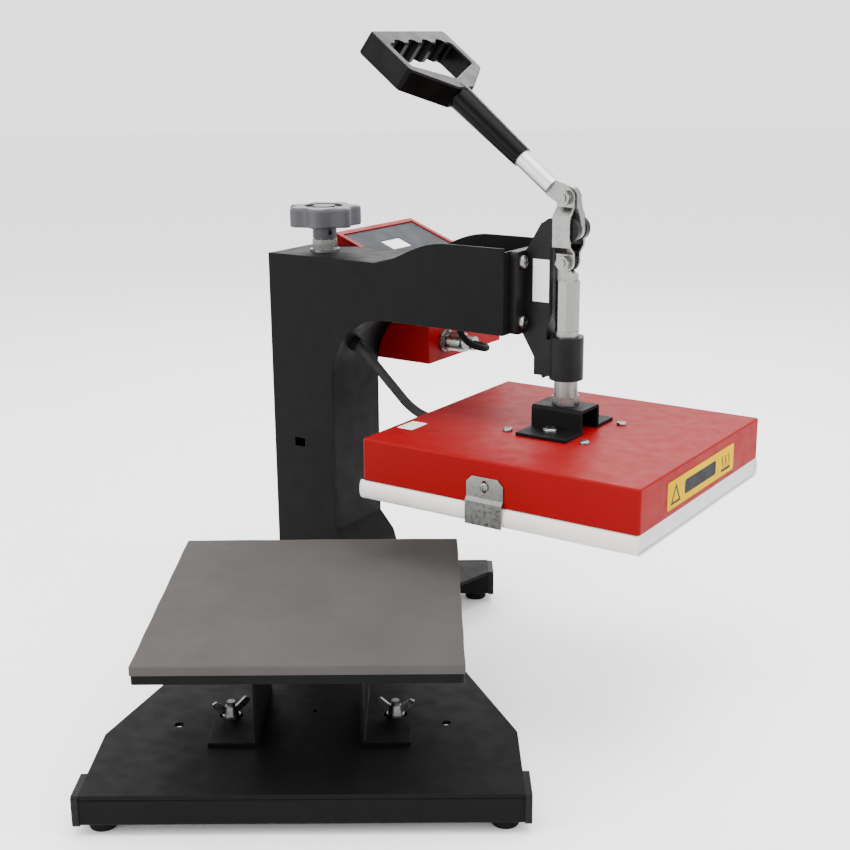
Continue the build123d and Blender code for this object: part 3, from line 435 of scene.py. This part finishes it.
def wool_blanket():
    """Soft-edged wool blanket over the heating plate, remeshed from its plain solid."""
    source = NODES["insulation"]
    piece = bpy.data.objects.new("wool_blanket", source.data.copy())
    bpy.context.scene.collection.objects.link(piece)
    refine(piece, "REMESH", mode="VOXEL", voxel_size=0.004)
    refine(piece, "SMOOTH", iterations=4)
    piece.data.materials.clear()
    piece.data.materials.append(LOOKS["wool"])
    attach(piece, "head")
    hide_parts("insulation")


SHEET_T = 0.5                       # millimetres
SHEET_Z = 221.9                     # the sheet's flat part, just under the heating plate
ROLL_Z, ROLL_R = 231.4, 9.4         # the roll at each side, its middle height and half its height
ROLL_IN, ROLL_OUT = 2.4, 4.0        # how far in from the platen's side it starts, and how far it bulges
OVERHANG = 3                        # the sheet reaches this far past the platen's rear


def wrapped_profile():
    """Cross section of the white sheet: a soft roll at each side and a flat face between."""
    half = SPAN / 2
    roll = []
    for i in range(13):
        a = math.radians(8 + 164 * i / 12)
        roll.append((half - ROLL_IN + ROLL_OUT * math.sin(a), ROLL_Z + ROLL_R * math.cos(a)))
    flat = [(half * (1 - 2 * i / 24) * 0.968, SHEET_Z) for i in range(25)]
    return roll + flat + [(-u, z) for u, z in reversed(roll)]


def white_sheet():
    """Non-stick sheet pulled under the heating plate and held by the side clips."""
    profile = wrapped_profile()
    cuts = 48
    verts, faces = [], []
    for j in range(cuts + 1):
        s = REACH - DEPTH / 2 - OVERHANG + (DEPTH + OVERHANG) * j / cuts
        for u, z in profile:
            edge = abs(u) / (SPAN / 2)
            ripple = 0.35 * math.sin(s * 0.043 + (1 if u > 0 else 4)) + 0.18 * math.sin(s * 0.13)
            push = ripple * max(0, edge - 0.97) * 33
            verts.append(arm(u + math.copysign(push, u), s, z + (0.12 * ripple if edge < 0.97 else 0)))
    n = len(profile)
    for j in range(cuts):
        for i in range(n - 1):
            a = j * n + i
            faces.append((a, a + 1, a + 1 + n, a + n))
    piece = mesh_piece("white_sheet", verts, faces, LOOKS["ptfe"])
    refine(piece, "SOLIDIFY", thickness=SHEET_T * MM, offset=0)
    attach(piece, "head")
    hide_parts("ptfe_sheet")


# ---------------------------------------------------------------- labels
COVER_TOP = 284                     # millimetres
CARD_LIFT, CARD_T = 0.02, 0.3       # the label's card above the paint, and its thickness
INK_LIFT, INK_T = 0.34, 0.08        # the printed shapes above the paint, and their thickness


def plate_on_front(name, outline, lift, look, thick):
    """Thin shape on the head's front face, from (across, height) points."""
    face = REACH + DEPTH / 2 + lift
    n = len(outline)
    verts = [arm(u, face, z) for u, z in outline] + [arm(u, face + thick, z) for u, z in outline]
    faces = [tuple(reversed(range(n))), tuple(range(n, 2 * n))]
    faces += [(i, (i + 1) % n, n + (i + 1) % n, n + i) for i in range(n)]
    piece = mesh_piece(name, verts, faces, look, smooth=False)
    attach(piece, "head")
    return piece


def round_box(u0, u1, z0, z1, r, steps=6):
    points = []
    corners = ((u1 - r, z1 - r, 0), (u0 + r, z1 - r, 90), (u0 + r, z0 + r, 180), (u1 - r, z0 + r, 270))
    for cu, cz, turn in corners:
        for i in range(steps + 1):
            a = math.radians(turn + 90 * i / steps)
            points.append((cu + r * math.cos(a), cz + r * math.sin(a)))
    return points


def front_label():
    """Yellow label with plain symbols: a triangle, a bar and rising heat. It has no wording."""
    outline = round_box(-83, 73, 247, 274, 3)
    card = plate_on_front("symbol_label", outline, CARD_LIFT, LOOKS["yellow_label"], CARD_T)
    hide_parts("cover_labels")
    plate_on_front("label_bar", round_box(-45, 28, 253.5, 267.5, 3), INK_LIFT, INK, INK_T)
    outer = [(-76, 251), (-54, 251), (-65, 270)]
    inner = [(-72.2, 253.2), (-57.8, 253.2), (-65, 265.8)]
    for i in range(3):
        j = (i + 1) % 3
        plate_on_front(f"label_triangle_{i}", [outer[i], outer[j], inner[j], inner[i]], INK_LIFT, INK, INK_T)
    plate_on_front("label_base", round_box(42, 64, 251, 254, 1), INK_LIFT, INK, INK_T)
    for i, u in enumerate((45, 53, 61)):
        left = [(u - 1 + 1.2 * math.sin(k * 0.9), 256 + 1.5 * k) for k in range(8)]
        right = [(a + 2, b) for a, b in reversed(left)]
        plate_on_front(f"label_heat_{i}", left + right, INK_LIFT, INK, INK_T)


def top_label():
    """Small blank white label on the cover, near its rear edge."""
    outline = round_box(-90, -62, 157, 175, 1)
    n, z = len(outline), COVER_TOP + 0.05
    verts = [arm(u, s, z) for u, s in outline] + [arm(u, s, z + 0.2) for u, s in outline]
    faces = [tuple(range(n)), tuple(reversed(range(n, 2 * n)))]
    faces += [(n + i, n + (i + 1) % n, (i + 1) % n, i) for i in range(n)]
    piece = mesh_piece("blank_label", verts, faces, LOOKS["white_label"], smooth=False)
    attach(piece, "head")


# ---------------------------------------------------------------- studio
PITCH, YAW, ROLL = math.radians(15.63), math.radians(-0.25), math.radians(-0.51)
EYE = (-0.0153, -1.3591, 0.662)
LENS = 58.25


def camera():
    data = bpy.data.cameras.new("camera")
    data.lens = LENS
    data.sensor_width = 36
    data.shift_x = 0.0035
    data.shift_y = -0.0018
    eye = bpy.data.objects.new("camera", data)
    turn = Matrix.Rotation(-YAW, 4, "Z") @ Matrix.Rotation(math.pi / 2 - PITCH, 4, "X")
    eye.matrix_world = Matrix.Translation(EYE) @ turn @ Matrix.Rotation(ROLL, 4, "Z")
    bpy.context.scene.collection.objects.link(eye)
    bpy.context.scene.camera = eye


def lamp(name, place, size, power, target=(0, -0.05, 0.25)):
    data = bpy.data.lights.new(name, "AREA")
    data.shape = "RECTANGLE"
    data.size, data.size_y = size
    data.energy = power
    light = bpy.data.objects.new(name, data)
    light.location = place
    light.rotation_euler = (Vector(target) - Vector(place)).to_track_quat("-Z", "Y").to_euler()
    bpy.context.scene.collection.objects.link(light)


def studio():
    """Pale seamless floor, a white surround and soft boxes above, behind and to both sides."""
    mesh = bpy.data.meshes.new("floor")
    mesh.from_pydata([(-9, -9, 0), (9, -9, 0), (9, 9, 0), (-9, 9, 0)], [], [(0, 1, 2, 3)])
    look = Surface("floor", (0.93, 0.93, 0.93), 0.7, shade=0.01)
    mesh.materials.append(look.mat)
    floor = bpy.data.objects.new("floor", mesh)
    bpy.context.scene.collection.objects.link(floor)
    world = bpy.data.worlds.new("surround")
    world.use_nodes = True
    world.node_tree.nodes["Background"].inputs["Color"].default_value = (1, 1, 1, 1)
    world.node_tree.nodes["Background"].inputs["Strength"].default_value = 2.2
    bpy.context.scene.world = world
    lamp("top_box", (0.1, -0.35, 2.2), (1.8, 1.4), 60)
    lamp("left_box", (-1.8, -0.95, 1.1), (0.9, 1.4), 30)
    lamp("right_box", (1.7, -0.75, 1.0), (0.8, 1.4), 20)
    lamp("rear_box", (0.2, 1.7, 1.5), (1.6, 0.8), 28)


dress_cad_nodes()
heater_lead()
signal_lead()
work_pad()
wool_blanket()
white_sheet()
front_label()
top_label()
camera()
studio()
